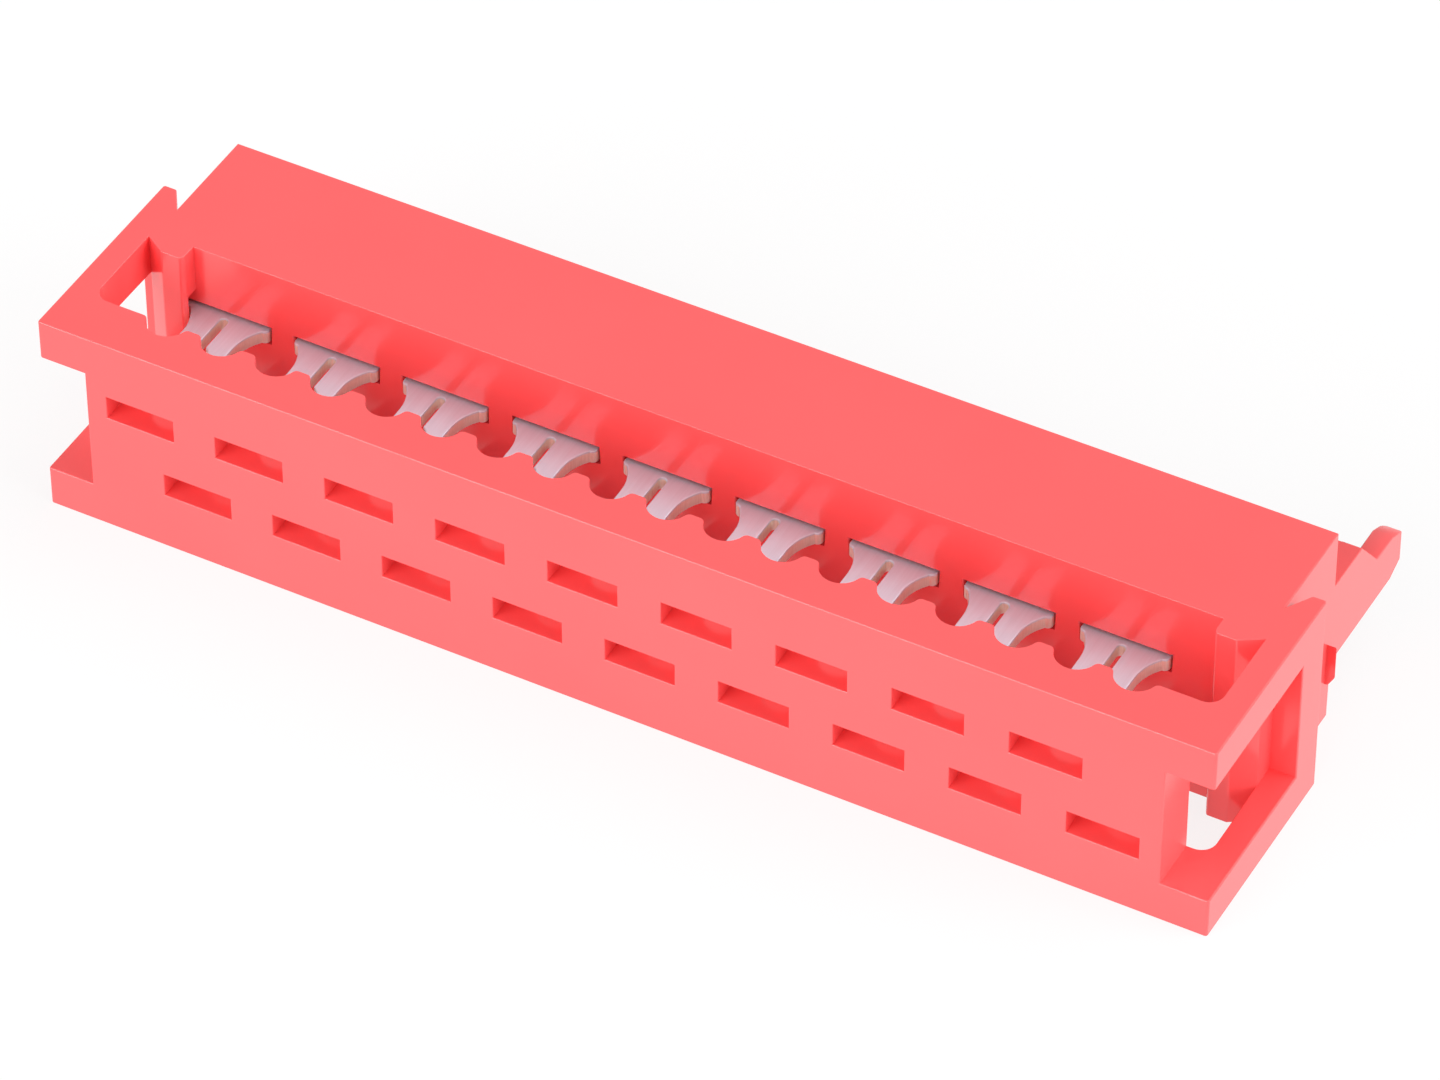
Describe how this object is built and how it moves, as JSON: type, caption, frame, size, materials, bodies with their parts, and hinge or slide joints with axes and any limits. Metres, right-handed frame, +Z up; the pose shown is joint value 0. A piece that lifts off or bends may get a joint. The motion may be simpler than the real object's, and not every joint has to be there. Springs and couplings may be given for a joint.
{
  "type": "ribbon cable connector",
  "caption": "Moulded ribbon-cable connector lying on its side, with two staggered rows of forked insulation-piercing contacts and a keyed mating tongue.",
  "frame": {"origin": "middle of the bounding box's lowest face, which is the long side that the part lies on", "axes": "+X along the row of conductors, +Y from the cable wall to the mating side, +Z up"},
  "size_m": [0.0262, 0.01, 0.0049],
  "materials": {
    "housing": "moulded red polyester, satin gloss",
    "contact": "tin-plated phosphor bronze sheet"
  },
  "bodies": {
    "root": {"housing": "housing", "contact_1": "contact", "contact_2": "contact", "contact_3": "contact", "contact_4": "contact", "contact_5": "contact", "contact_6": "contact", "contact_7": "contact", "contact_8": "contact", "contact_9": "contact", "contact_10": "contact", "contact_11": "contact", "contact_12": "contact", "contact_13": "contact", "contact_14": "contact", "contact_15": "contact", "contact_16": "contact", "contact_17": "contact", "contact_18": "contact"}
  },
  "joints": []
}
